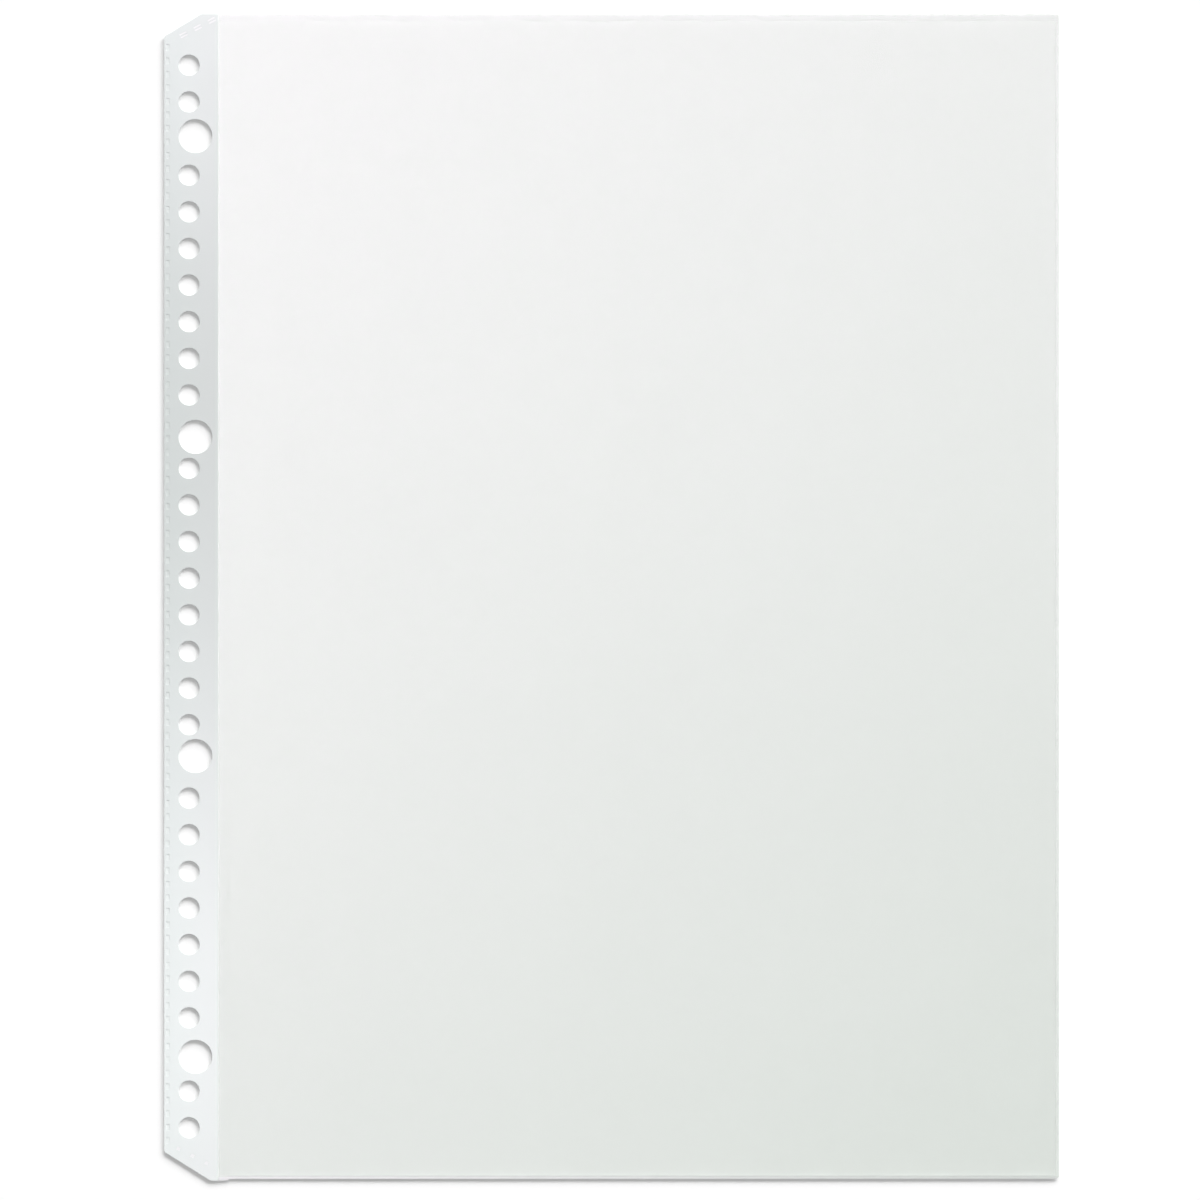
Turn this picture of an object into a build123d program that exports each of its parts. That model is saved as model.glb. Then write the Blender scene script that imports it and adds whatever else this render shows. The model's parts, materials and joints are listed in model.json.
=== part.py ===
from build123d import *
import os

os.makedirs("parts", exist_ok=True)

# A page pocket of two clear films, welded along three sides and open at the top. A binding strip
# runs down its left side: a stiff tape on a thin backing, punched for a row of close rings and for
# four wider ones. The page lies flat with its front up: X across the page, Y up it, Z out of it.
# All sizes are in millimetres.

# Page
PAGE_WIDTH = 232.0  # strip's outer edge to the pocket's right edge
PAGE_HEIGHT = 302.0  # pocket's bottom edge to its mouth
STRIP_TAIL = 0.5  # strip's reach below the pocket's bottom edge
MOUTH_STEP = 1.5  # front film's mouth lies this far below the back film's
FILM_CORNER_RADIUS = 0.8

# Layers
BACKING_THICKNESS = 0.08
TAPE_THICKNESS = 0.42
FILM_THICKNESS = 0.08
POCKET_ROOM = 0.18  # space between the films

# Binding strip
HOLE_OUTER_MARGIN = 3.6  # strip's outer edge to the holes, which all start on one line
HOLE_INNER_MARGIN = 1.4  # wide holes to the tape's inner edge
FLANGE_WIDTH = 3.0  # backing's reach past the tape, under the pocket
TOP_CUT_WIDTH = 9.6
TOP_CUT_HEIGHT = 5.8
BOTTOM_CUT_WIDTH = 12.0
BOTTOM_CUT_HEIGHT = 7.5
STRIP_CORNER_RADIUS = 1.0
TAIL_CORNER_RADIUS = 1.5  # flange's corner below the pocket

# Ring holes
RING_PITCH = 9.5
RING_END_MARGIN = 13.0  # least distance from the page's ends to a ring
RING_HOLE_DIAMETER = 5.7
BINDER_PITCH = 80.0  # of the wider rings
BINDER_COUNT = 4
BINDER_HOLE_DIAMETER = 9.0

# Welds between the tape and its backing, pressed below both faces of the strip
WELD_FRONT_DEPTH = 0.12
WELD_BACK_DEPTH = 0.04
STITCH_PITCH = 3.5
STITCH_LENGTH = 1.6
STITCH_WIDTH = 0.9
STITCH_INSET = 0.9  # strip's outer edge to the middle of the stitches
STITCH_END_MARGIN = 2.0  # corner cuts to the first and last stitch
CORNER_WELD_COUNT = 3
CORNER_WELD_PITCH = 4.1
CORNER_WELD_TILT = 27.0  # degrees between the page's bottom edge and a row of corner welds
BAR_LENGTH = 2.0
BAR_WIDTH = 0.4
BAR_SPACING = 0.75  # between the two bars of a top corner weld
TOP_WELD_INSET = 2.3  # middle of the top cut to its row of welds
TOP_WELD_SHIFT = 3.2  # the row's offset along itself, towards the page
DOT_SIZE = 0.9
BOTTOM_WELD_INSET = 3.0

# Welds that close the pocket
SEAM_WIDTH = 1.0
TAPE_GAP = 0.1  # tape's inner edge to the film margin beside it
HINGE_GAP = 0.1  # spine seam to the films, which flex along this line

# Places that follow from the sizes
outer_edge = -PAGE_WIDTH / 2
page_right = PAGE_WIDTH / 2
page_top = (PAGE_HEIGHT + STRIP_TAIL) / 2
pocket_bottom = page_top - PAGE_HEIGHT
strip_bottom = pocket_bottom - STRIP_TAIL
pocket_middle = (page_top + pocket_bottom) / 2
front_top = page_top - MOUTH_STEP

tape_width = HOLE_OUTER_MARGIN + BINDER_HOLE_DIAMETER + HOLE_INNER_MARGIN
backing_width = tape_width + FLANGE_WIDTH
seam_left = outer_edge + tape_width + TAPE_GAP
seam_right = outer_edge + backing_width
film_left = seam_right + HINGE_GAP

weld_height = BACKING_THICKNESS + TAPE_THICKNESS - WELD_BACK_DEPTH - WELD_FRONT_DEPTH
pocket_floor = BACKING_THICKNESS + FILM_THICKNESS
pocket_ceiling = pocket_floor + POCKET_ROOM
pocket_thickness = POCKET_ROOM + 2 * FILM_THICKNESS

# Rings: the close row fills the page's height, and each wide hole takes the place of the nearest
# close one, midway between the two, so that a ring of either row passes through it.
ring_count = int((PAGE_HEIGHT - 2 * RING_END_MARGIN) // RING_PITCH) + 1
ring_offsets = [(n - (ring_count - 1) / 2) * RING_PITCH for n in range(ring_count)]
binder_offsets = [(n - (BINDER_COUNT - 1) / 2) * BINDER_PITCH for n in range(BINDER_COUNT)]
wide_offsets = []
for binder in binder_offsets:
    if abs(binder) <= ring_offsets[-1]:
        nearest = min(ring_offsets, key=lambda ring: abs(ring - binder))
        ring_offsets.remove(nearest)
        wide_offsets.append((nearest + binder) / 2)

ring_x = outer_edge + HOLE_OUTER_MARGIN + RING_HOLE_DIAMETER / 2
binder_x = outer_edge + HOLE_OUTER_MARGIN + BINDER_HOLE_DIAMETER / 2

with BuildSketch() as ring_holes:
    with Locations([(ring_x, pocket_middle + offset) for offset in ring_offsets]):
        Circle(RING_HOLE_DIAMETER / 2)
    with Locations([(binder_x, pocket_middle + offset) for offset in wide_offsets]):
        Circle(BINDER_HOLE_DIAMETER / 2)

# Stitches: a row of short marks beside the strip's straight outer edge
stitch_low = strip_bottom + BOTTOM_CUT_HEIGHT + STITCH_END_MARGIN
stitch_high = page_top - TOP_CUT_HEIGHT - STITCH_END_MARGIN
stitch_count = int((stitch_high - stitch_low - STITCH_LENGTH) // STITCH_PITCH) + 1

with BuildSketch() as stitch_marks:
    with Locations((outer_edge + STITCH_INSET, (stitch_low + stitch_high) / 2)):
        with GridLocations(STITCH_WIDTH, STITCH_PITCH, 1, stitch_count):
            Rectangle(STITCH_WIDTH, STITCH_LENGTH)

# Corner welds: a row beside each cut corner, of bar pairs at the top and of dots at the bottom
top_cut_middle = Location(
    (outer_edge + TOP_CUT_WIDTH / 2, page_top - TOP_CUT_HEIGHT / 2), CORNER_WELD_TILT
)
bottom_cut_middle = Location(
    (outer_edge + BOTTOM_CUT_WIDTH / 2, strip_bottom + BOTTOM_CUT_HEIGHT / 2), -CORNER_WELD_TILT
)

with BuildSketch() as top_corner_marks:
    with Locations(top_cut_middle):
        with Locations((TOP_WELD_SHIFT, -TOP_WELD_INSET)):
            with GridLocations(CORNER_WELD_PITCH, BAR_SPACING, CORNER_WELD_COUNT, 2):
                Rectangle(BAR_LENGTH, BAR_WIDTH)

with BuildSketch() as bottom_corner_marks:
    with Locations(bottom_cut_middle):
        with Locations((0, BOTTOM_WELD_INSET)):
            with GridLocations(CORNER_WELD_PITCH, DOT_SIZE, CORNER_WELD_COUNT, 1):
                Rectangle(DOT_SIZE, DOT_SIZE)


def strip_face(width, tail_radius):
    """A layer of the strip: its outer corners are cut off, and holes and welds pass through it."""
    inner_edge = outer_edge + width
    with BuildSketch() as face:
        with BuildLine():
            Polyline(
                (outer_edge, strip_bottom + BOTTOM_CUT_HEIGHT),
                (outer_edge, page_top - TOP_CUT_HEIGHT),
                (outer_edge + TOP_CUT_WIDTH, page_top),
                (inner_edge, page_top),
                (inner_edge, strip_bottom),
                (outer_edge + BOTTOM_CUT_WIDTH, strip_bottom),
                close=True,
            )
        make_face()
        fillet(face.vertices().sort_by(Axis.X)[:-2], radius=STRIP_CORNER_RADIUS)
        if tail_radius:
            fillet(face.vertices().sort_by(Axis.X)[-2:].sort_by(Axis.Y)[0], radius=tail_radius)
        for cut in (ring_holes, stitch_marks, top_corner_marks, bottom_corner_marks):
            add(cut.sketch, mode=Mode.SUBTRACT)
    return face.sketch


def panel_face(left, right, low, high, outer_radius):
    """A rectangle of film or seam between four edges, with its right-hand corners rounded."""
    with BuildSketch() as face:
        with Locations(((left + right) / 2, (low + high) / 2)):
            Rectangle(right - left, high - low)
        if outer_radius:
            fillet(face.vertices().sort_by(Axis.X)[-2:], radius=outer_radius)
    return face.sketch


# Binding strip
with BuildPart() as tape_backing:
    with BuildSketch():
        add(strip_face(backing_width, TAIL_CORNER_RADIUS))
    extrude(amount=BACKING_THICKNESS)

with BuildPart() as binding_tape:
    with BuildSketch(Plane.XY.offset(BACKING_THICKNESS)):
        add(strip_face(tape_width, 0))
    extrude(amount=TAPE_THICKNESS)

# Weld plugs: fused plastic that fills the marks through the tape and its backing
with BuildPart() as edge_stitch_welds:
    with BuildSketch(Plane.XY.offset(WELD_BACK_DEPTH)):
        add(stitch_marks.sketch)
    extrude(amount=weld_height)

with BuildPart() as top_corner_welds:
    with BuildSketch(Plane.XY.offset(WELD_BACK_DEPTH)):
        add(top_corner_marks.sketch)
    extrude(amount=weld_height)

with BuildPart() as bottom_corner_welds:
    with BuildSketch(Plane.XY.offset(WELD_BACK_DEPTH)):
        add(bottom_corner_marks.sketch)
    extrude(amount=weld_height)

# Spine seam: the film margins, fused together and to the backing's flange down to its tail
with BuildPart() as spine_seam:
    with BuildSketch(Plane.XY.offset(BACKING_THICKNESS)) as spine_face:
        add(panel_face(seam_left, seam_right, strip_bottom, page_top, 0))
        fillet(spine_face.vertices().group_by(Axis.X)[-1].sort_by(Axis.Y)[0], radius=TAIL_CORNER_RADIUS)
    extrude(amount=pocket_thickness)

# Pocket films
with BuildPart() as back_film:
    with BuildSketch(Plane.XY.offset(BACKING_THICKNESS)):
        add(panel_face(film_left, page_right, pocket_bottom, page_top, FILM_CORNER_RADIUS))
    extrude(amount=FILM_THICKNESS)

with BuildPart() as front_film:
    with BuildSketch(Plane.XY.offset(pocket_ceiling)):
        add(panel_face(film_left, page_right, pocket_bottom, front_top, FILM_CORNER_RADIUS))
    extrude(amount=FILM_THICKNESS)

# Seams between the films, down the right side and along the bottom
seam_inner = page_right - SEAM_WIDTH

with BuildPart() as side_seam:
    with BuildSketch(Plane.XY.offset(pocket_floor)):
        add(panel_face(seam_inner, page_right, pocket_bottom, front_top, FILM_CORNER_RADIUS))
    extrude(amount=POCKET_ROOM)

with BuildPart() as bottom_seam:
    with BuildSketch(Plane.XY.offset(pocket_floor)):
        add(panel_face(film_left, seam_inner, pocket_bottom, pocket_bottom + SEAM_WIDTH, 0))
    extrude(amount=POCKET_ROOM)

pieces = {
    "binding_tape": binding_tape,
    "tape_backing": tape_backing,
    "edge_stitch_welds": edge_stitch_welds,
    "top_corner_welds": top_corner_welds,
    "bottom_corner_welds": bottom_corner_welds,
    "spine_seam": spine_seam,
    "back_film": back_film,
    "front_film": front_film,
    "side_seam": side_seam,
    "bottom_seam": bottom_seam,
}
for name, piece in pieces.items():
    piece.part.label = name
    export_step(piece.part, f"parts/{name}.step")
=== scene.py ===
"""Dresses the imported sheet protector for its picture.

The page lies flat with its front up: X across the page, Y up it, Z out of it, all in metres. The
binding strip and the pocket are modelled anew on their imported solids, and a small studio lights
them.
"""

import json
import logging
import math
from collections.abc import Callable, Iterable, Iterator
from contextlib import contextmanager
from dataclasses import dataclass, field, replace
from enum import Enum

import bpy
from mathutils import Matrix, Vector


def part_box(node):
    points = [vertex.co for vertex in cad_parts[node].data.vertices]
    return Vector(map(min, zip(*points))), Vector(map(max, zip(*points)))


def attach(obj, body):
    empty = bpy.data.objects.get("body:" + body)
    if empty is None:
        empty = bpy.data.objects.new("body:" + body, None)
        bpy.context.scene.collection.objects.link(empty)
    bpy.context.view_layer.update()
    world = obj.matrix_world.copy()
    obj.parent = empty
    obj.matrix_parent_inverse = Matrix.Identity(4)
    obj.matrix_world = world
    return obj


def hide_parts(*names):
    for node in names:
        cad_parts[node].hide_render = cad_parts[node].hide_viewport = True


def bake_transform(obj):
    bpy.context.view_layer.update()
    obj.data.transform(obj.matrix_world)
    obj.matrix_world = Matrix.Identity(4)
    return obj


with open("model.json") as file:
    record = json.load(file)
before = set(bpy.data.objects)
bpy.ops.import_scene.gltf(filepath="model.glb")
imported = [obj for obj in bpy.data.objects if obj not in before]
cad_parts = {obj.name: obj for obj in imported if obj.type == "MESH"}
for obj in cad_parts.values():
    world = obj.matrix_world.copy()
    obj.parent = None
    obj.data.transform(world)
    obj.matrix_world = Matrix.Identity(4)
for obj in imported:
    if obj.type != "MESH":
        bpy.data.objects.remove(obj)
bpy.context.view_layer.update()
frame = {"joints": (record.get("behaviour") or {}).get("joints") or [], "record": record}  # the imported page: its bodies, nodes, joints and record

MM = 0.001
LAYER_GAP = 0.01 * MM  # between neighbouring layers, so that no two faces coincide
NEAR = 0.001 * MM  # points this close count as one
FLAT = 0.999  # the least Z of a flat face's normal
SHARP = math.radians(40.0)  # edges that turn by more than this are rounded
BLUNT = math.radians(30.0)  # edges that turn by less than this are shaded smooth
WELD_EDGE = 0.25  # a weld bar's rounded edge, as a share of its thickness
PLASTIC_IOR = 1.5
NOISE_MIDDLE = 0.5  # noise varies around this
BROAD_DETAIL = 3.0  # finer layers of noise in a broad haze
FINE_DETAIL = 2.0  # finer layers of noise in lines and in small mottle
LOG = logging.getLogger("sheet_protector")

Pair = tuple[float, float]  # across and up the page
Colour = tuple[float, float, float]
Grain = tuple[float, float, float]  # blotches of noise in a metre, along each axis

BLACK: Colour = (0.0, 0.0, 0.0)
WHITE: Colour = (1.0, 1.0, 1.0)


class Body(Enum):
    """The bodies that the page's hinge joins."""

    STRIP = "binding_strip"
    POCKET = "pocket"


class Slot(Enum):
    """The record's material slots."""

    FILM = "clear_film"
    TAPE = "strip_tape"
    WELD = "weld"


class Ramp(Enum):
    """How a share goes from 0 to 1."""

    EVEN = "LINEAR"
    SMOOTH = "SMOOTHSTEP"


def ease(share: float) -> float:
    """Smooths the way from 0 to 1 and holds what lies outside it."""
    held = min(max(share, 0.0), 1.0)
    return held * held * (3.0 - 2.0 * held)


@dataclass(frozen=True)
class Slab:
    """A flat piece of the page: its four edges, its floor and its ceiling."""

    left: float
    right: float
    low: float
    high: float
    floor: float
    ceiling: float

    @classmethod
    def of(cls, node: str) -> "Slab":
        """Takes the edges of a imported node, drawn in a little from the layers above and below it.

        Args:
            node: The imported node's name.

        Returns:
            The node's slab.
        """
        lowest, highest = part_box(node)
        return cls(
            lowest.x,
            highest.x,
            lowest.y,
            highest.y,
            lowest.z + LAYER_GAP / 2,
            highest.z - LAYER_GAP / 2,
        )

    @property
    def width(self) -> float:
        """The size across the page."""
        return self.right - self.left

    @property
    def length(self) -> float:
        """The size up the page."""
        return self.high - self.low

    @property
    def thickness(self) -> float:
        """The size out of the page."""
        return self.ceiling - self.floor

    @property
    def middle(self) -> Vector:
        """The middle of the slab's area, on its floor."""
        return Vector(((self.left + self.right) / 2, (self.low + self.high) / 2, self.floor))


class Value:
    """A shader socket that takes part in Python sums, each of which adds a Math node."""

    def __init__(self, recipe: "Recipe", socket: bpy.types.NodeSocket) -> None:
        """Wraps an output socket of a recipe's tree."""
        self.recipe = recipe
        self.socket = socket

    def __add__(self, other: "Value | float") -> "Value":
        """This value plus another."""
        return self.recipe.maths("ADD", self, other)

    def __radd__(self, other: float) -> "Value":
        """A number plus this value."""
        return self.recipe.maths("ADD", other, self)

    def __sub__(self, other: "Value | float") -> "Value":
        """This value less another."""
        return self.recipe.maths("SUBTRACT", self, other)

    def __rsub__(self, other: float) -> "Value":
        """A number less this value."""
        return self.recipe.maths("SUBTRACT", other, self)

    def __mul__(self, other: "Value | float") -> "Value":
        """This value times another."""
        return self.recipe.maths("MULTIPLY", self, other)

    def __rmul__(self, other: float) -> "Value":
        """A number times this value."""
        return self.recipe.maths("MULTIPLY", other, self)

    def least(self, other: "Value | float") -> "Value":
        """The smaller of this value and another."""
        return self.recipe.maths("MINIMUM", self, other)

    def most(self, other: "Value | float") -> "Value":
        """The larger of this value and another."""
        return self.recipe.maths("MAXIMUM", self, other)

    def sine(self) -> "Value":
        """The sine of this value, in radians."""
        return self.recipe.maths("SINE", self)

    def around(self, level: float, swing: float) -> "Value":
        """A level that swings with this noise."""
        return level + swing * (self - NOISE_MIDDLE)

    def rise(self, start: float, end: float, ramp: Ramp = Ramp.SMOOTH) -> "Value":
        """Goes from 0 to 1 as this value goes from start to end.

        Args:
            start: The value at which the result leaves 0.
            end: The value at which the result reaches 1.
            ramp: How the result goes between them.

        Returns:
            The share of the way, from 0 to 1.
        """
        settings = {"interpolation_type": ramp.value}
        sockets = {"Value": self, "From Min": start, "From Max": end}
        ranged = self.recipe.node("ShaderNodeMapRange", settings, sockets)
        return Value(self.recipe, ranged.outputs["Result"])


class Recipe:
    """The node tree of a material or of the world, in the making."""

    # The Mix node repeats its sockets' names, so its colours go by number.
    MIX_SHARE, MIX_FIRST, MIX_SECOND, MIX_RESULT = 0, 6, 7, 2

    def __init__(self, owner: bpy.types.Material | bpy.types.World) -> None:
        """Empties the owner's node tree.

        Args:
            owner: The material or world that the tree belongs to.
        """
        owner.use_nodes = True
        self.owner = owner
        self.tree = owner.node_tree
        self.tree.nodes.clear()

    def node(
        self, kind: str, settings: dict | None = None, sockets: dict | None = None
    ) -> bpy.types.Node:
        """Adds a node.

        Args:
            kind: The node's type.
            settings: The node's own settings.
            sockets: For each input, by name or number, a value or the socket that feeds it.

        Returns:
            The node.
        """
        made = self.tree.nodes.new(kind)
        for key, setting in (settings or {}).items():
            setattr(made, key, setting)
        for key, given in (sockets or {}).items():
            source = given.socket if isinstance(given, Value) else given
            if isinstance(source, bpy.types.NodeSocket):
                self.tree.links.new(source, made.inputs[key])
            else:
                made.inputs[key].default_value = source
        return made

    def maths(self, operation: str, *operands: Value | float) -> Value:
        """Adds a Math node.

        Args:
            operation: The node's operation.
            operands: Its inputs, in order.

        Returns:
            The result.
        """
        made = self.node("ShaderNodeMath", {"operation": operation}, dict(enumerate(operands)))
        return Value(self, made.outputs[0])

    def place(self) -> bpy.types.NodeSocket:
        """The shaded point's place in the row frame."""
        return self.node("ShaderNodeTexCoord").outputs["Object"]

    def axes(self) -> tuple[Value, Value]:
        """The shaded point's place across and up the page."""
        apart = self.node("ShaderNodeSeparateXYZ", sockets={"Vector": self.place()})
        return Value(self, apart.outputs["X"]), Value(self, apart.outputs["Y"])

    def noise(self, grain: Grain, detail: float) -> Value:
        """Soft random variation.

        Args:
            grain: How many blotches there are in a metre, along each axis.
            detail: How many finer layers are added to them.

        Returns:
            The variation, around NOISE_MIDDLE.
        """
        scaled = self.node("ShaderNodeMapping", sockets={"Vector": self.place(), "Scale": grain})
        sockets = {"Vector": scaled.outputs["Vector"], "Scale": 1.0, "Detail": detail}
        return Value(self, self.node("ShaderNodeTexNoise", sockets=sockets).outputs["Fac"])

    def blend(
        self, share: Value, first: Colour | bpy.types.NodeSocket, second: Colour
    ) -> bpy.types.NodeSocket:
        """Mixes two colours.

        Args:
            share: The second colour's share.
            first: The colour at a share of 0, or the socket that gives it.
            second: The colour at a share of 1.

        Returns:
            The mixed colour.
        """
        start = (*first, 1.0) if isinstance(first, tuple) else first
        sockets = {self.MIX_SHARE: share, self.MIX_FIRST: start, self.MIX_SECOND: (*second, 1.0)}
        mixed = self.node("ShaderNodeMix", {"data_type": "RGBA"}, sockets)
        return mixed.outputs[self.MIX_RESULT]

    def bump(self, height: Value) -> bpy.types.NodeSocket:
        """The normal of a surface with this height, in metres."""
        sockets = {"Strength": 1.0, "Distance": 1.0, "Height": height}
        return self.node("ShaderNodeBump", sockets=sockets).outputs["Normal"]

    def seen(self) -> Value:
        """Tells the rays that show a thing to the camera, straight or in a reflection.

        Returns:
            1 for such a ray, and else 0.
        """
        path = self.node("ShaderNodeLightPath")
        rays = ("Is Camera Ray", "Is Glossy Ray", "Is Transmission Ray")
        straight, mirrored, through = (Value(self, path.outputs[ray]) for ray in rays)
        return straight.most(mirrored).most(through)

    def plastic(self, sockets: dict) -> bpy.types.Material:
        """Finishes a material as a plastic with these inputs."""
        shader = self.node("ShaderNodeBsdfPrincipled", sockets=sockets)
        return self.end(shader.outputs["BSDF"])

    def end(self, shader: bpy.types.NodeSocket) -> bpy.types.Material | bpy.types.World:
        """Sends a shader to the tree's output.

        Args:
            shader: The shader's socket.

        Returns:
            The tree's owner.
        """
        owner_kind = "World" if isinstance(self.owner, bpy.types.World) else "Material"
        self.node(f"ShaderNodeOutput{owner_kind}", sockets={"Surface": shader})
        return self.owner


@dataclass(frozen=True)
class FilmFinish:
    """Clear cast film: glossy, faintly hazy and greenish, denser at its rims, lip and hem."""

    tint: Colour = (0.67, 0.745, 0.675)
    rim_tint: Colour = (0.64, 0.71, 0.65)
    hem_tint: Colour = (0.75, 0.775, 0.755)
    opacity: float = 0.127
    rim_opacity: float = 0.03
    rim_width: float = 0.45 * MM
    lip_opacity: float = 0.0
    lip_width: float = 1.0 * MM  # down from the film's upper end
    lip_fade: float = 0.1  # its soft border, as a share of its width
    hem_opacity: float = 0.0
    hem_width: float = 0.5 * MM  # up from the film's lower end
    hem_fade: float = 0.2  # its soft border, as a share of its width
    haze: float = 0.012  # how much the opacity varies
    haze_grain: Grain = (9.0, 9.0, 9.0)
    roughness: float = 0.10
    drag: float = 0.05  # how much the casting lines vary the roughness
    line_grain: Grain = (700.0, 6.0, 700.0)
    line_height: float = 0.0002 * MM
    shine: float = 1.0

    def material(self, name: str, area: Slab) -> bpy.types.Material:
        """Makes the film's material.

        Args:
            name: The material's name.
            area: The film's own edges.

        Returns:
            The material.
        """
        recipe = Recipe(bpy.data.materials.new(name))
        across, up = recipe.axes()
        cloud = recipe.noise(self.haze_grain, BROAD_DETAIL)
        lines = recipe.noise(self.line_grain, FINE_DETAIL)
        from_sides = (area.right - across).least(across - area.left)
        from_ends = (area.high - up).least(up - area.low)
        rim = 1.0 - from_sides.least(from_ends).rise(0.0, self.rim_width)
        lip_start = area.high - self.lip_width
        lip = up.rise(lip_start - self.lip_fade * self.lip_width, lip_start)
        hem_end = area.low + self.hem_width
        hem = 1.0 - up.rise(hem_end, hem_end + self.hem_fade * self.hem_width)
        denser = self.rim_opacity * rim + self.lip_opacity * lip + self.hem_opacity * hem
        colour = recipe.blend(rim, self.tint, self.rim_tint)
        if self.hem_opacity:
            colour = recipe.blend(hem, colour, self.hem_tint)
        return recipe.plastic(
            {
                "Base Color": colour,
                "Alpha": cloud.around(self.opacity, self.haze) + denser,
                "Roughness": lines.around(self.roughness, self.drag),
                "Normal": recipe.bump(self.line_height * lines),
                "IOR": PLASTIC_IOR,
                "Specular IOR Level": self.shine,
            }
        )


@dataclass(frozen=True)
class TapeFinish:
    """Milky extruded tape: drawn lines, a long gentle wave, and an inner edge that rolls over."""

    outer_tint: Colour = (0.80, 0.86, 0.835)
    inner_tint: Colour = (0.82, 0.86, 0.845)
    opacity: float = 0.88
    mottle: float = 0.05  # how much the opacity varies
    mottle_grain: Grain = (60.0, 25.0, 60.0)
    roughness: float = 0.24
    drag: float = 0.10  # how much the drawn lines vary the roughness
    line_grain: Grain = (1500.0, 12.0, 1500.0)
    line_height: float = 0.0006 * MM
    wave_tilt: float = math.radians(3.9)
    wave_length: float = 327.0 * MM
    wave_middle: float = 48.0 * MM  # where the tape leans furthest from the light
    roll_tilt: float = math.radians(14.0)  # at the inner edge
    roll_width: float = 1.0 * MM
    shine: float = 0.2

    def material(self, name: str, area: Slab) -> bpy.types.Material:
        """Makes the tape's material.

        Args:
            name: The material's name.
            area: The tape's own edges.

        Returns:
            The material.
        """
        recipe = Recipe(bpy.data.materials.new(name))
        across, up = recipe.axes()
        mottle = recipe.noise(self.mottle_grain, BROAD_DETAIL)
        lines = recipe.noise(self.line_grain, FINE_DETAIL)
        inwards = across.rise(area.left, area.right)
        turns = 2.0 * math.pi / self.wave_length
        wave = ((up - self.wave_middle) * turns).sine() * (self.wave_tilt / turns)
        past = (across - (area.right - self.roll_width)).most(0.0)
        roll = past * past * (self.roll_tilt / (2.0 * self.roll_width))
        return recipe.plastic(
            {
                "Base Color": recipe.blend(inwards, self.outer_tint, self.inner_tint),
                "Alpha": mottle.around(self.opacity, self.mottle),
                "Roughness": lines.around(self.roughness, self.drag),
                "Normal": recipe.bump(wave - roll + self.line_height * lines),
                "IOR": PLASTIC_IOR,
                "Specular IOR Level": self.shine,
            }
        )


@dataclass(frozen=True)
class WeldFinish:
    """Plastic fused under a sealing bar: whiter than what it joins, with the bar's fine pimples."""

    tint: Colour = (0.94, 0.96, 0.95)
    pale_tint: Colour = (0.98, 0.99, 0.985)
    tail_tint: Colour = (0.80, 0.82, 0.81)
    opacity: float = 0.85
    tail_opacity: float | None = None  # the same as the rest if not given
    tail_length: float = 0.5 * MM  # up from the weld's lower end
    tail_fade: float = 0.2  # its soft border, as a share of its length
    mottle: float = 0.08  # how much the opacity varies
    mottle_grain: Grain = (400.0, 400.0, 400.0)
    roughness: float = 0.32
    drag: float = 0.1  # how much the mottle varies the roughness
    pimple_pitch: float = 0.3 * MM
    pimple_height: float = 0.002 * MM
    shine: float = 0.5

    def material(self, name: str, area: Slab) -> bpy.types.Material:
        """Makes the weld's material.

        Args:
            name: The material's name.
            area: The weld's own edges.

        Returns:
            The material.
        """
        recipe = Recipe(bpy.data.materials.new(name))
        across, up = recipe.axes()
        mottle = recipe.noise(self.mottle_grain, FINE_DETAIL)
        turns = 2.0 * math.pi / self.pimple_pitch
        pimples = (across * turns).sine() * (up * turns).sine()
        colour = recipe.blend(mottle, self.tint, self.pale_tint)
        opacity = self.opacity * mottle.around(1.0, self.mottle)
        if self.tail_opacity is not None:
            tail_end = area.low + self.tail_length
            tail = 1.0 - up.rise(tail_end, tail_end + self.tail_fade * self.tail_length)
            colour = recipe.blend(tail, colour, self.tail_tint)
            opacity = opacity + (self.tail_opacity - self.opacity) * tail
        return recipe.plastic(
            {
                "Base Color": colour,
                "Alpha": opacity,
                "Roughness": mottle.around(self.roughness, self.drag),
                "Normal": recipe.bump(self.pimple_height * pimples),
                "IOR": PLASTIC_IOR,
                "Specular IOR Level": self.shine,
            }
        )


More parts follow.
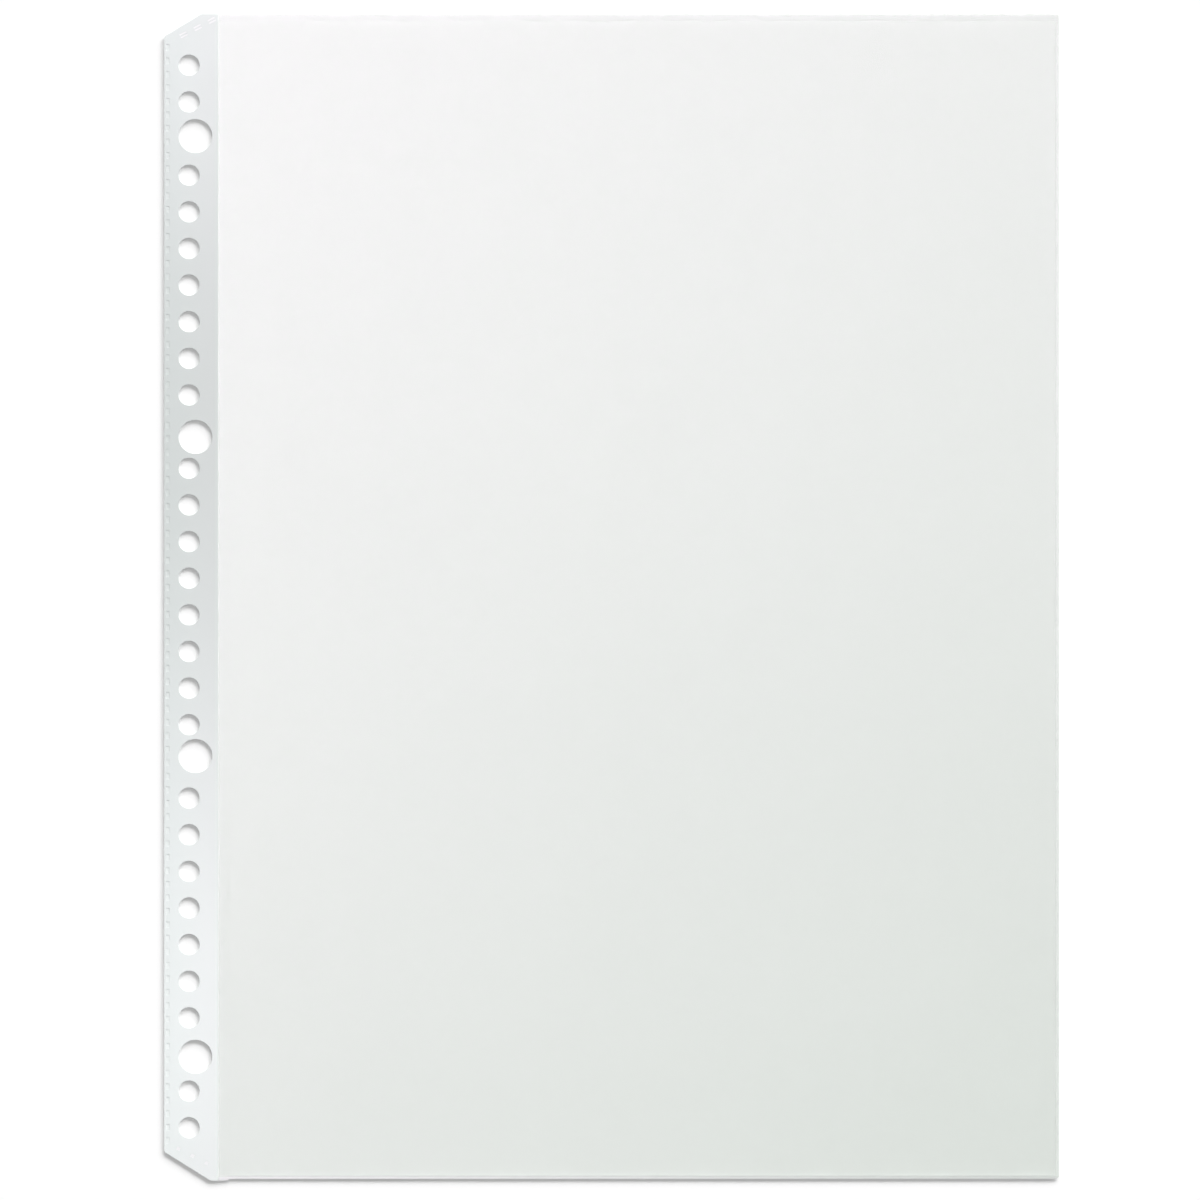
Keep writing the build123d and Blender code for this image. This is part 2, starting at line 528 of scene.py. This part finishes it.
class Workpiece:
    """An object on the bench, shaped with the operators of edit mode."""

    def __init__(self, name: str, thing: bpy.types.Object | None = None) -> None:
        """Takes an object, or else the one that an operator has just added.

        Args:
            name: The object's name from now on.
            thing: The object, with its place in its mesh already.
        """
        self.thing = thing or bpy.context.object
        self.thing.name = self.thing.data.name = name
        if thing is None:
            bpy.ops.object.transform_apply(location=True, rotation=True, scale=True)

    @staticmethod
    def clear_bench() -> None:
        """Deselects everything."""
        bpy.ops.object.select_all(action="DESELECT")

    @classmethod
    def panel(cls, name: str, slab: Slab) -> "Workpiece":
        """Lays one face over a slab's area, on its floor.

        Args:
            name: The object's name.
            slab: The area to cover.

        Returns:
            The panel.
        """
        cls.clear_bench()
        bpy.ops.mesh.primitive_plane_add(size=1.0, location=slab.middle)
        bpy.context.object.scale = (slab.width, slab.length, 1.0)
        return cls(name)

    @classmethod
    def pin(cls, name: str, radius: float, depth: float, sides: int) -> "Workpiece":
        """Stands a round pin on the middle of the page.

        Args:
            name: The object's name.
            radius: The pin's radius.
            depth: The pin's length, half of it below the page's floor.
            sides: How many flats its wall has.

        Returns:
            The pin.
        """
        cls.clear_bench()
        bpy.ops.mesh.primitive_cylinder_add(vertices=sides, radius=radius, depth=depth)
        return cls(name)

    @classmethod
    def grid(cls, name: str, width: float, length: float, cells: tuple[int, int]) -> "Workpiece":
        """Lays a divided face on the middle of the page.

        Args:
            name: The object's name.
            width: Its size across the page.
            length: Its size up the page.
            cells: How many cells it has each way.

        Returns:
            The grid.
        """
        cls.clear_bench()
        bpy.ops.mesh.primitive_grid_add(x_subdivisions=cells[0], y_subdivisions=cells[1], size=1.0)
        bpy.context.object.scale = (width, length, 1.0)
        return cls(name)

    @classmethod
    def join(cls, name: str, pieces: list["Workpiece"]) -> "Workpiece":
        """Joins several pieces into one object.

        Args:
            name: The joined object's name.
            pieces: The pieces, which are used up.

        Returns:
            The joined piece.
        """
        cls.clear_bench()
        for piece in pieces:
            piece.thing.select_set(True)
        bpy.context.view_layer.objects.active = pieces[0].thing
        bpy.ops.object.join()
        return cls(name)

    def hold(self) -> None:
        """Selects this piece alone."""
        self.clear_bench()
        self.thing.select_set(True)
        bpy.context.view_layer.objects.active = self.thing

    @contextmanager
    def edit(self, chosen: Callable[[Vector], bool]) -> Iterator[None]:
        """Opens edit mode with some points selected, and the edges and faces between them.

        Args:
            chosen: Tells by its place whether a point is selected.

        Returns:
            A context in which edit mode is open.
        """
        self.hold()
        mesh = self.thing.data
        for point in mesh.vertices:
            point.select = chosen(point.co)
        for part in (*mesh.edges, *mesh.polygons):
            part.select = all(mesh.vertices[n].select for n in part.vertices)
        bpy.context.tool_settings.mesh_select_mode = (True, False, False)
        bpy.ops.object.mode_set(mode="EDIT")
        yield
        bpy.ops.object.mode_set(mode="OBJECT")

    def cut(self, point: Vector, normal: Vector, trim: bool) -> None:
        """Cuts the mesh along a plane.

        Args:
            point: A point of the plane.
            normal: The plane's direction.
            trim: Whether what lies past the plane is taken off.
        """
        with self.edit(lambda co: True):
            bpy.ops.mesh.bisect(
                plane_co=point, plane_no=normal.normalized(), clear_outer=trim, threshold=NEAR
            )

    def round_corner(self, corner: Vector, radius: float, segments: int = 6) -> None:
        """Rounds one corner of a flat outline.

        Args:
            corner: The corner's place, at any height.
            radius: The arc's radius.
            segments: How many straight pieces make up the arc.
        """
        mesh = self.thing.data
        found = min(mesh.vertices, key=lambda v: (v.co.xy - corner.xy).length).index
        met = (edge.vertices for edge in mesh.edges if found in edge.vertices)
        ends = [mesh.vertices[n].co for pair in met for n in pair if n != found]
        at = mesh.vertices[found].co.copy()
        angle = (ends[0] - at).angle(ends[1] - at)
        reach = radius / math.tan(angle / 2)
        with self.edit(lambda co: (co - at).length < NEAR):
            bpy.ops.mesh.bevel(offset=reach, segments=segments, affect="VERTICES")

    def raise_walls(self, height: float) -> None:
        """Draws a flat outline out into a closed solid.

        Args:
            height: How far it is drawn, downwards if negative.
        """
        with self.edit(lambda co: True):
            bpy.ops.mesh.extrude_region_move(TRANSFORM_OT_translate={"value": (0.0, 0.0, height)})
            bpy.ops.mesh.select_all(action="SELECT")
            bpy.ops.mesh.normals_make_consistent(inside=False)

    def modify(self, kind: str, **settings: object) -> None:
        """Applies a modifier.

        Args:
            kind: The modifier's type.
            settings: The modifier's own settings.
        """
        self.hold()
        added = self.thing.modifiers.new(kind.lower(), kind)
        for key, setting in settings.items():
            setattr(added, key, setting)
        bpy.ops.object.modifier_apply(modifier=added.name)

    def soften(self, width: float, segments: int = 2) -> None:
        """Rounds every sharp edge by a little and smooths the shading.

        Args:
            width: How far the rounding reaches from the edge.
            segments: How many facets it has.
        """
        self.modify(
            "BEVEL", width=width, segments=segments, limit_method="ANGLE", angle_limit=SHARP
        )
        self.smooth()
        for face in self.thing.data.polygons:
            face.use_smooth = abs(face.normal.z) < FLAT

    def smooth(self) -> None:
        """Smooths the shading across blunt edges."""
        self.hold()
        bpy.ops.object.shade_smooth_by_angle(angle=BLUNT)

    def copies(self, places: Iterable[Matrix]) -> list["Workpiece"]:
        """Sets copies of this piece in several places.

        Args:
            places: Where the copies go, from the middle of the page.

        Returns:
            The copies, each with a mesh of its own. This piece is used up.
        """
        made = []
        for place in places:
            twin = self.thing.copy()
            twin.data = self.thing.data.copy()
            twin.data.transform(place)
            bpy.context.collection.objects.link(twin)
            made.append(Workpiece(self.thing.name, twin))
        self.discard()
        return made

    def discard(self) -> None:
        """Takes the piece off the bench."""
        mesh = self.thing.data
        bpy.data.objects.remove(self.thing)
        bpy.data.meshes.remove(mesh)

    def finish(self, material: bpy.types.Material, slot: Slot, node: str) -> "Workpiece":
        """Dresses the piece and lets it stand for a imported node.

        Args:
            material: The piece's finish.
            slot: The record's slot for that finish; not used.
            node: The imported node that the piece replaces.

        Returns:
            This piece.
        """
        self.thing.data.materials.clear()
        self.thing.data.materials.append(material)
        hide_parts(node)
        return self


@dataclass(frozen=True)
class Hinge:
    """The line along which the pocket flexes on the strip."""

    joint: str = "page_turn"
    bend: float = 2.0 * MM  # width of the band of film that takes the bend
    columns: int = 12

    @property
    def axis(self) -> Vector:
        """A point on the hinge's line."""
        places = {joint["name"]: joint["pos_m"] for joint in frame["joints"]}
        return Vector(places[self.joint])

    def divide(self, piece: Workpiece) -> None:
        """Cuts a piece into narrow columns along the band, so that it can bend there.

        Args:
            piece: The piece to cut.
        """
        for n in range(self.columns + 1):
            x = self.axis.x + self.bend * n / self.columns
            piece.cut(Vector((x, 0.0, 0.0)), Vector((1.0, 0.0, 0.0)), trim=False)

    def join(self, piece: Workpiece) -> None:
        """Bakes the piece's place into its mesh.

        Args:
            piece: The piece, already divided.
        """
        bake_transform(piece.thing)


@dataclass(frozen=True)
class Pad:
    """The fused pad of one kind of weld between the tape and its backing.

    Its middle rises in steps. Each step gives the share of the rise and the share of the pad's
    width and length that it lifts.
    """

    size: Pair
    sink: float  # how far its rim lies below the tape's face
    rise: float  # how far its middle stands above its rim, or below it if negative
    cells: tuple[int, int] = (4, 6)
    steps: tuple[tuple[float, float], ...] = ((0.6, 0.9), (0.4, 0.45))


@dataclass
class BindingStrip:
    """The punched tape on its backing, the welds between them, and the weld to the films."""

    top_cut: Pair = (9.6 * MM, 5.8 * MM)
    bottom_cut: Pair = (12.0 * MM, 7.5 * MM)
    corner_radius: float = 1.0 * MM
    tail_radius: float = 1.0 * MM
    hole_sides: int = 72
    hole_lip: float = 0.12 * MM  # how far a punched rim springs back into its hole
    tape_edge: float = 0.06 * MM
    backing_edge: float = 0.015 * MM
    stitch: Pad = Pad((0.9 * MM, 1.6 * MM), sink=0.05 * MM, rise=-0.005 * MM)
    stitch_pitch: float = 3.5 * MM
    bar: Pad = Pad((2.0 * MM, 0.4 * MM), sink=0.02 * MM, rise=0.012 * MM)
    bar_spacing: float = 0.75 * MM
    dot: Pad = Pad((0.9 * MM, 0.9 * MM), sink=0.02 * MM, rise=0.012 * MM)
    corner_pitch: float = 4.1 * MM
    corner_tilt: float = math.radians(27.0)
    pad_gap: float = 0.01 * MM  # between a pad and the wall around it
    backing_finish: FilmFinish = FilmFinish(tint=(0.95, 0.97, 0.96), opacity=0.003, haze=0.001)
    tape_finish: TapeFinish = TapeFinish()
    # the stitch pads' tint is paler than the tape's: partly the pressed plastic's own pallor,
    # partly a painted highlight for the light on each dent's lower wall
    stitch_finish_with_painted_highlight: TapeFinish = TapeFinish(outer_tint=(0.85, 0.91, 0.885))
    corner_finish: WeldFinish = WeldFinish(tint=(0.96, 0.985, 0.97), pale_tint=(0.98, 1.0, 0.99))
    spine_finish: WeldFinish = WeldFinish(opacity=0.002, tail_opacity=0.9)
    pieces: list[Workpiece] = field(default_factory=list)

    def holes(self) -> Iterator[tuple[float, Vector]]:
        """Finds the ring holes in the record's mounts.

        Returns:
            The radius and the middle of each hole.
        """
        for mount in frame["record"]["mounts"]:
            if mount["kind"] == "bolt_pattern":
                half = Vector((0.0, mount["dims"]["spacing_y_mm"] * MM / 2, 0.0))
                middle = Vector((mount["pos_m"][0], mount["pos_m"][1], 0.0))
                for place in (middle - half, middle + half):
                    yield mount["dims"]["hole_r_mm"] * MM, place

    def stitch_places(self) -> list[Matrix]:
        """Finds where the stitches lie, up the strip's outer edge.

        Returns:
            Their places.
        """
        slab = Slab.of("edge_stitch_welds")
        tall = self.stitch.size[1]
        count = round((slab.length - tall) / self.stitch_pitch) + 1
        steps = (slab.low + tall / 2 + n * self.stitch_pitch for n in range(count))
        return [Matrix.Translation((slab.middle.x, y, 0.0)) for y in steps]

    def corner_places(self, node: str, tilt: float, rows: tuple[float, ...]) -> list[Matrix]:
        """Finds where the welds beside a cut corner lie.

        Args:
            node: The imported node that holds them.
            tilt: How far their row is turned from the page's bottom edge.
            rows: The rows' offsets from the node's middle.

        Returns:
            Their places.
        """
        middle = Slab.of(node).middle
        row = Matrix.Translation((middle.x, middle.y, 0.0)) @ Matrix.Rotation(tilt, 4, "Z")
        steps = (-self.corner_pitch, 0.0, self.corner_pitch)
        return [row @ Matrix.Translation((step, offset, 0.0)) for step in steps for offset in rows]

    def top_places(self) -> list[Matrix]:
        """Where the bars beside the top corner lie."""
        half = self.bar_spacing / 2
        return self.corner_places("top_corner_welds", self.corner_tilt, (-half, half))

    def bottom_places(self) -> list[Matrix]:
        """Where the dots beside the bottom corner lie."""
        return self.corner_places("bottom_corner_welds", -self.corner_tilt, (0.0,))

    def punch(self, reach: float) -> Workpiece:
        """Makes the tool that punches the strip: a pin for each hole and a blade for each weld.

        Args:
            reach: How far the tool stands out on both sides of the page's floor.

        Returns:
            The punch.
        """
        holes = list(self.holes())
        tools = []
        for radius in sorted({radius for radius, _ in holes}):
            pin = Workpiece.pin("pin", radius - self.hole_lip, 2 * reach, self.hole_sides)
            tools += pin.copies(Matrix.Translation(at) for size, at in holes if size == radius)
        for pad, places in (
            (self.stitch, self.stitch_places()),
            (self.bar, self.top_places()),
            (self.dot, self.bottom_places()),
        ):
            wide, tall = (side / 2 for side in pad.size)
            blade = Workpiece.panel("blade", Slab(-wide, wide, -tall, tall, -reach, reach))
            blade.raise_walls(2 * reach)
            tools += blade.copies(places)
        return Workpiece.join("punch", tools)

    def layer(
        self, name: str, slab: Slab, punch: Workpiece, edge: float, tail: float = 0.0
    ) -> Workpiece:
        """Models a layer of the strip: cut corners, punched holes, rounded edges.

        Args:
            name: The piece's name.
            slab: The layer's own edges.
            punch: The tool for its holes.
            edge: How far its edges are rounded.
            tail: The radius of its lower corner beside the pocket.

        Returns:
            The layer.
        """
        piece = Workpiece.panel(name, slab)
        cuts = ((self.top_cut, slab.high, 1.0), (self.bottom_cut, slab.low, -1.0))
        for (wide, tall), end, sign in cuts:
            on_end = Vector((slab.left + wide, end, 0.0))
            on_side = Vector((slab.left, end - sign * tall, 0.0))
            piece.cut(on_end, Vector((-tall, sign * wide, 0.0)), trim=True)
            for corner in (on_end, on_side):
                piece.round_corner(corner, self.corner_radius)
        if tail:
            piece.round_corner(Vector((slab.right, slab.low, 0.0)), tail)
        piece.raise_walls(slab.thickness)
        piece.modify("BOOLEAN", operation="DIFFERENCE", solver="EXACT", object=punch.thing)
        piece.soften(edge)
        return piece

    def pads(self, name: str, pad: Pad, places: list[Matrix]) -> Workpiece:
        """Models the pads of one kind of weld: dished or crowned tops on plugs through the strip.

        Args:
            name: The piece's name.
            pad: The pads' form.
            places: Where the pads go.

        Returns:
            The pads, joined into one piece.
        """
        floor = Slab.of("edge_stitch_welds").floor
        top = Slab.of("binding_tape").ceiling - pad.sink
        width, length = (side - 2 * self.pad_gap for side in pad.size)
        piece = Workpiece.grid(name, width, length, pad.cells)
        for share, reach in pad.steps:
            wide, tall = reach * width / 2, reach * length / 2
            with piece.edit(lambda co: abs(co.x) < wide and abs(co.y) < tall):
                bpy.ops.transform.translate(value=(0.0, 0.0, share * pad.rise))
        piece.raise_walls(floor - top)
        piece.smooth()
        lift = Matrix.Translation((0.0, 0.0, top))
        return Workpiece.join(name, piece.copies(lift @ place for place in places))

    def spine_weld(self) -> Workpiece:
        """Models the weld to the films: a flat bar between their margins, and a tab below them.

        Returns:
            The weld.
        """
        nodes = ("spine_seam", "back_film", "front_film")
        spine, back, front = (Slab.of(node) for node in nodes)
        bar = replace(spine, floor=back.ceiling + LAYER_GAP, ceiling=front.floor - LAYER_GAP)
        parts = []
        for slab, side, end in ((bar, -1.0, back.low), (spine, 1.0, back.low - LAYER_GAP)):
            part = Workpiece.panel("spine_weld", slab)
            part.round_corner(Vector((slab.right, slab.low, 0.0)), self.tail_radius)
            part.cut(Vector((0.0, end, 0.0)), Vector((0.0, side, 0.0)), trim=True)
            part.raise_walls(slab.thickness)
            part.soften(WELD_EDGE * bar.thickness)
            parts.append(part)
        plastic = self.spine_finish.material("spine_plastic", spine)
        return Workpiece.join("spine_weld", parts).finish(plastic, Slot.WELD, "spine_seam")

    def build(self) -> list[Workpiece]:
        """Models and dresses every piece of the strip.

        Returns:
            The pieces.
        """
        tape, backing = Slab.of("binding_tape"), Slab.of("tape_backing")
        punch = self.punch(reach=2 * tape.ceiling)
        back = self.layer("punched_backing", backing, punch, self.backing_edge, self.tail_radius)
        front = self.layer("punched_tape", tape, punch, self.tape_edge)
        punch.discard()
        stitches = self.pads("stitch_pads", self.stitch, self.stitch_places())
        bars = self.pads("corner_bar_pads", self.bar, self.top_places())
        dots = self.pads("corner_dot_pads", self.dot, self.bottom_places())
        backing_plastic = self.backing_finish.material("backing_plastic", backing)
        tape_plastic = self.tape_finish.material("tape_plastic", tape)
        # the stitch pads' paler tint paints part of each stitch's highlight
        stitch_plastic_with_painted_highlight = self.stitch_finish_with_painted_highlight.material("stitch_plastic_with_painted_highlight", tape)
        corner_plastic = self.corner_finish.material("corner_plastic", tape)
        self.pieces = [
            back.finish(backing_plastic, Slot.TAPE, "tape_backing"),
            front.finish(tape_plastic, Slot.TAPE, "binding_tape"),
            stitches.finish(stitch_plastic_with_painted_highlight, Slot.WELD, "edge_stitch_welds"),
            bars.finish(corner_plastic, Slot.WELD, "top_corner_welds"),
            dots.finish(corner_plastic, Slot.WELD, "bottom_corner_welds"),
            self.spine_weld(),
        ]
        for piece in self.pieces:
            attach(piece.thing, Body.STRIP.value)
        return self.pieces


@dataclass
class Pocket:
    """The two films, which run on over the strip's flange, and the welds that close them."""

    hinge: Hinge = Hinge()
    corner_radius: float = 0.8 * MM
    grid_cuts: int = 39
    slack_margin: float = 40.0 * MM  # a film lies flat this near to its welds
    ripple_size: float = 90.0 * MM
    front_ripple: float = 0.15 * MM
    back_ripple: float = 0.03 * MM
    back_finish: FilmFinish = FilmFinish(lip_opacity=0.17)
    front_finish: FilmFinish = FilmFinish(hem_opacity=0.8)
    side_finish: WeldFinish = WeldFinish(opacity=0.08)
    bottom_finish: WeldFinish = WeldFinish(tint=(0.84, 0.87, 0.85), pale_tint=(0.88, 0.91, 0.89))
    pieces: list[Workpiece] = field(default_factory=list)

    def area(self, node: str) -> Slab:
        """The edges of a film with its margin on the strip's flange."""
        return replace(Slab.of(node), left=Slab.of("spine_seam").left)

    def film(
        self, name: str, node: str, finish: FilmFinish, ripple: float
    ) -> Workpiece:
        """Models a film: a sheet with a faint ripple, flat along its welds.

        Args:
            name: The piece's name.
            node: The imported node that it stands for.
            finish: The film's finish.
            ripple: How far the ripple rises.

        Returns:
            The film.
        """
        slab = self.area(node)
        piece = Workpiece.panel(name, slab)
        with piece.edit(lambda co: True):
            bpy.ops.mesh.subdivide(number_cuts=self.grid_cuts)
        self.hinge.divide(piece)
        for end in (slab.low, slab.high):
            piece.round_corner(Vector((slab.right, end, 0.0)), self.corner_radius)
        slack = piece.thing.vertex_groups.new(name="slack")
        bend = self.hinge.axis.x
        for point in piece.thing.data.vertices:
            from_weld = min(point.co.x - bend, slab.right - point.co.x, point.co.y - slab.low)
            slack.add([point.index], ease(from_weld / self.slack_margin), "REPLACE")
        cloud = bpy.data.textures.new(f"{name}_ripple", "CLOUDS")
        cloud.noise_scale = self.ripple_size
        piece.modify(
            "DISPLACE",
            texture=cloud,
            direction="Z",
            strength=ripple,
            mid_level=0.0,
            vertex_group=slack.name,
        )
        piece.modify("SOLIDIFY", thickness=slab.thickness, offset=1.0)
        piece.thing.vertex_groups.clear()
        piece.smooth()
        piece.finish(finish.material(f"{name}_plastic", slab), Slot.FILM, node)
        self.hinge.join(piece)
        return piece

    def side_weld(self) -> Workpiece:
        """Models the weld down the pocket's right side.

        Returns:
            The weld.
        """
        slab = Slab.of("side_seam")
        piece = Workpiece.panel("side_weld", slab)
        for end in (slab.low, slab.high):
            piece.round_corner(Vector((slab.right, end, 0.0)), self.corner_radius)
        piece.raise_walls(slab.thickness)
        piece.soften(WELD_EDGE * slab.thickness)
        piece.finish(self.side_finish.material("side_plastic", slab), Slot.WELD, "side_seam")
        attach(piece.thing, Body.POCKET.value)
        return piece

    def bottom_weld(self) -> Workpiece:
        """Models the weld along the pocket's bottom, cut into narrow columns at the hinge as the
        films are.

        Returns:
            The weld.
        """
        slab = Slab.of("bottom_seam")
        piece = Workpiece.panel("bottom_weld", slab)
        piece.raise_walls(slab.thickness)
        piece.soften(WELD_EDGE * slab.thickness)
        self.hinge.divide(piece)
        piece.finish(self.bottom_finish.material("bottom_plastic", slab), Slot.WELD, "bottom_seam")
        self.hinge.join(piece)
        return piece

    def build(self) -> list[Workpiece]:
        """Models and dresses every piece of the pocket.

        Returns:
            The pieces.
        """
        step = Slab.of("back_film").high - Slab.of("front_film").high
        lipped = replace(self.back_finish, lip_width=step)
        self.pieces = [
            self.film("back_sheet", "back_film", lipped, self.back_ripple),
            self.film(
                "front_sheet", "front_film", self.front_finish, self.front_ripple
            ),
            self.side_weld(),
            self.bottom_weld(),
        ]
        return self.pieces


@dataclass(frozen=True)
class Studio:
    """A pale floor, two low soft key lights, a grey sky, an overhead card and the camera."""

    floor_size: float = 8.0
    floor_drop: float = 0.05 * MM  # floor below the page's underside
    floor_tint: Colour = (0.92, 0.92, 0.92)
    floor_glow: float = 0.14  # makes the floor white to the camera and keeps its shadows
    sky_level: float = 0.385
    key_level: float = 0.3225  # what each key light adds on the floor, where 1 is white
    key_elevation: float = math.radians(19.5)
    key_bearings: tuple[float, ...] = (math.radians(5.0), math.radians(45.0))  # from up to right
    key_spread: float = math.radians(25.0)
    card_height: float = 2.5
    card_size: float = 3.0
    card_tint: Colour = (1.0, 0.80, 1.0)
    card_level: float = 8.8
    card_slope: Pair = (-0.61, 0.79)  # the direction in which the card gets brighter
    card_reach: float = 350.0 * MM  # from the card's middle to its full and to no brightness
    camera_height: float = 3.0
    camera_middle: Pair = (-3.0 * MM, -0.68 * MM)
    view_width: float = 311.2 * MM
    sensor: float = 36.0
    clear_bounces: int = 32  # a ray meets up to sixteen faces of clear layers each way

    def floor(self) -> None:
        """Lays the floor."""
        Workpiece.clear_bench()
        place = (0.0, 0.0, -self.floor_drop)
        bpy.ops.mesh.primitive_plane_add(size=self.floor_size, location=place)
        floor = Workpiece("floor").thing
        recipe = Recipe(bpy.data.materials.new("floor_paper"))
        floor.data.materials.append(
            recipe.plastic(
                {
                    "Base Color": (*self.floor_tint, 1.0),
                    "Roughness": 1.0,
                    "Specular IOR Level": 0.0,
                    "Emission Color": recipe.blend(recipe.seen(), BLACK, WHITE),
                    "Emission Strength": self.floor_glow,
                }
            )
        )

    def sky(self) -> None:
        """Makes a sky that lights softly and looks white."""
        world = bpy.data.worlds.new("sky")
        bpy.context.scene.world = world
        recipe = Recipe(world)
        strength = self.sky_level + (1.0 - self.sky_level) * recipe.seen()
        background = recipe.node("ShaderNodeBackground", sockets={"Strength": strength})
        recipe.end(background.outputs["Background"])

    def key(self, bearing: float) -> None:
        """Hangs a key light.

        Args:
            bearing: Where it hangs, from up the page towards its right.
        """
        data = bpy.data.lights.new("key", "SUN")
        data.energy = self.key_level * math.pi / math.sin(self.key_elevation)
        data.angle = self.key_spread
        lamp = bpy.data.objects.new("key", data)
        bpy.context.collection.objects.link(lamp)
        flat = math.cos(self.key_elevation)
        towards = Vector(
            (
                flat * math.sin(bearing),
                flat * math.cos(bearing),
                math.sin(self.key_elevation),
            )
        )
        lamp.rotation_euler = towards.to_track_quat("Z", "Y").to_euler()

    def card(self) -> None:
        """Hangs the card, which shows only in reflections and is bright past one corner."""
        Workpiece.clear_bench()
        place = (0.0, 0.0, self.card_height)
        bpy.ops.mesh.primitive_plane_add(size=self.card_size, location=place)
        card = Workpiece("card").thing
        recipe = Recipe(bpy.data.materials.new("card_paper"))
        across, up = recipe.axes()
        along = across * self.card_slope[0] + up * self.card_slope[1]
        share = along.rise(-self.card_reach, self.card_reach, Ramp.EVEN)
        sockets = {
            "Color": recipe.blend(share, BLACK, self.card_tint),
            "Strength": self.card_level,
        }
        glow = recipe.node("ShaderNodeEmission", sockets=sockets)
        card.data.materials.append(recipe.end(glow.outputs["Emission"]))
        for ray in ("camera", "diffuse", "transmission", "volume_scatter", "shadow"):
            setattr(card, f"visible_{ray}", False)

    def camera(self) -> None:
        """Hangs the camera straight above the page."""
        data = bpy.data.cameras.new("camera")
        data.sensor_width = self.sensor
        data.lens = self.sensor * self.camera_height / self.view_width
        camera = bpy.data.objects.new("camera", data)
        camera.location = (*self.camera_middle, self.camera_height)
        bpy.context.collection.objects.link(camera)
        bpy.context.scene.camera = camera

    def build(self) -> None:
        """Sets up the whole studio."""
        scene = bpy.context.scene
        scene.view_settings.view_transform = "Standard"
        scene.cycles.transparent_max_bounces = self.clear_bounces
        self.floor()
        self.sky()
        for bearing in self.key_bearings:
            self.key(bearing)
        self.card()
        self.camera()


def main() -> None:
    """Builds the page and its studio, and reports each piece."""
    logging.basicConfig(level=logging.INFO, format="%(name)s: %(message)s")
    for piece in (*BindingStrip().build(), *Pocket().build()):
        LOG.info("%s has %d faces", piece.thing.name, len(piece.thing.data.polygons))
    Studio().build()


if __name__ == "__main__":
    main()
